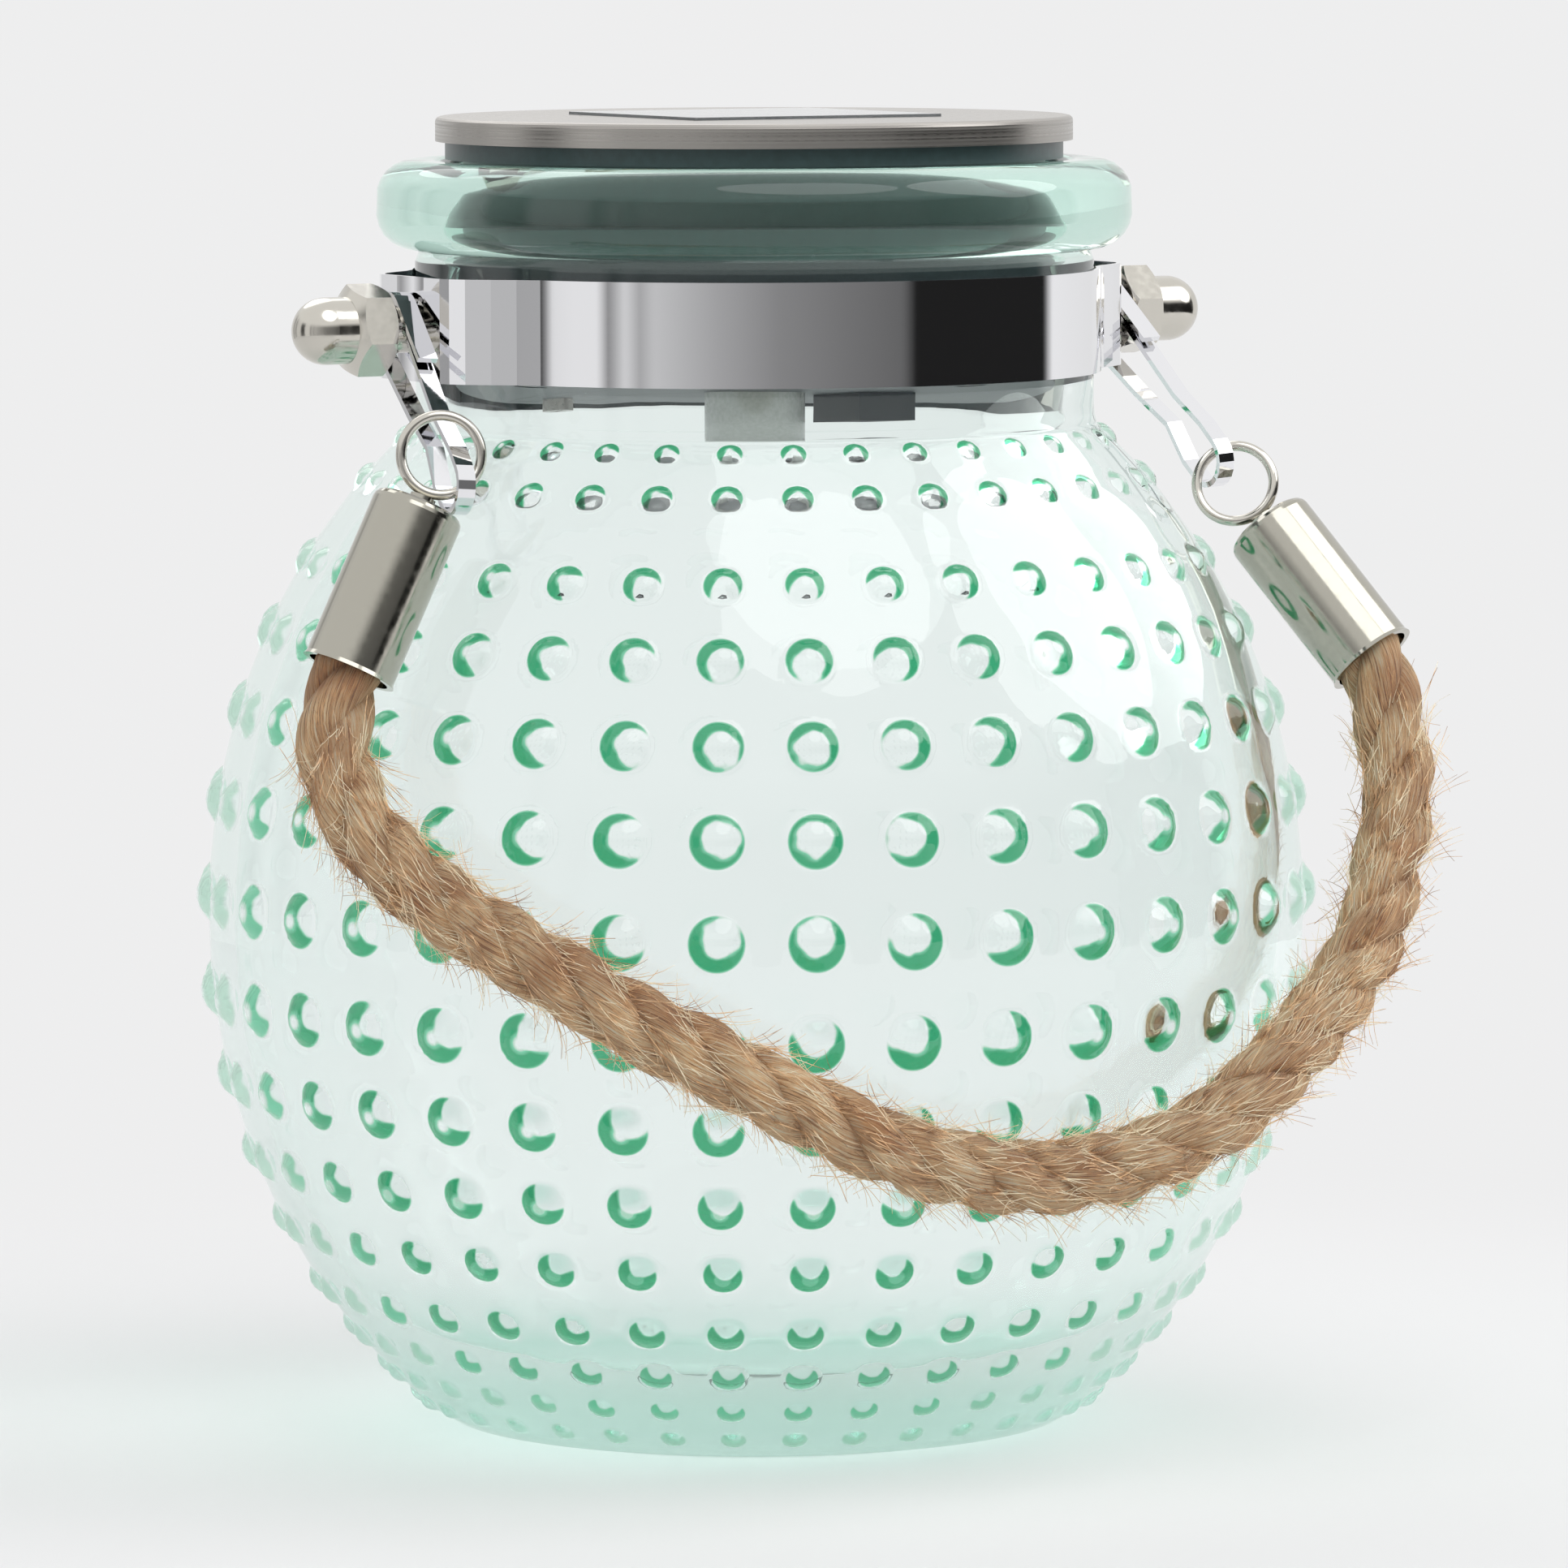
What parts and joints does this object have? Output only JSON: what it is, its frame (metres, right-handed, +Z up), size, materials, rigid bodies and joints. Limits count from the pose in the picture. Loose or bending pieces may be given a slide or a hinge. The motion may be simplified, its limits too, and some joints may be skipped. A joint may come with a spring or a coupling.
{
  "type": "jar lantern",
  "caption": "Round dimpled-glass jar lantern with a push-in solar lid, a metal neck strap and a thick rope handle on two clips.",
  "frame": {"origin": "middle of the foot, on the surface that the jar stands on", "axes": "+Z up through the lid; +X along the two bolts that carry the handle; at rest the rope handle hangs on the -Y side"},
  "size_m": [0.1444, 0.1461, 0.1627],
  "materials": {
    "jar_glass": "clear, pale green",
    "chrome": "polished",
    "nickel": "polished nickel",
    "steel": "brushed",
    "jute": "laid rope, fuzzy",
    "window": "clear",
    "solar_cell": "dark blue",
    "gasket": "clear silicone",
    "dark_plastic": "fine texture",
    "board": "satin",
    "wire": "insulated wire",
    "led": "clear resin",
    "lens": "frosted",
    "cell_jacket": "shrink sleeve",
    "light_plastic": "satin"
  },
  "bodies": {
    "jar": {"glass_jar": "jar_glass", "neck_strap": "chrome", "left_bolt": "nickel", "right_bolt": "nickel", "left_cap_nut": "nickel", "right_cap_nut": "nickel"},
    "left_clip_body": {"left_clip": "chrome"},
    "right_clip_body": {"right_clip": "chrome"},
    "handle": {"left_ring": "nickel", "right_ring": "nickel", "left_end_cap": "nickel", "right_end_cap": "nickel", "rope": "jute"},
    "lid": {"lid_cap": "steel", "solar_window": "window", "solar_cell": "solar_cell", "lid_gasket": "gasket", "module_housing": "dark_plastic", "base_cover": "dark_plastic", "cover_screws": "steel", "circuit_board": "board", "cell_leads": "wire", "led": "led", "led_lens": "lens", "battery": "cell_jacket", "battery_spring": "steel", "battery_plate": "steel", "battery_door": "dark_plastic", "door_screw": "steel", "switch_body": "light_plastic"},
    "switch": {"switch_slider": "light_plastic"}
  },
  "joints": [
    {"name": "lid_lift", "type": "slide", "parent": "jar", "child": "lid", "axis": [0, 0, 1], "range_m": [0, 0.045]},
    {"name": "switch_slide", "type": "slide", "parent": "lid", "child": "switch", "axis": [0, 1, 0], "range_m": [0, 0.0025]},
    {"name": "handle_swing", "type": "hinge", "parent": "jar", "child": "left_clip_body", "pos_m": [-0.04935, 0, 0.13716], "axis": [-1, 0, 0], "range_deg": [0, 250]},
    {"name": "right_clip_swing", "type": "hinge", "parent": "jar", "child": "right_clip_body", "pos_m": [0.04935, 0, 0.13716], "axis": [-1, 0, 0], "range_deg": [0, 250]},
    {"name": "handle_tilt", "type": "hinge", "parent": "left_clip_body", "child": "handle", "pos_m": [0, -0.02238, 0.11936], "axis": [-1, 0, 0], "range_deg": [0, 15]}
  ],
  "couplings": [
    {"joint": "right_clip_swing", "follows": "handle_swing", "ratio": 1}
  ]
}
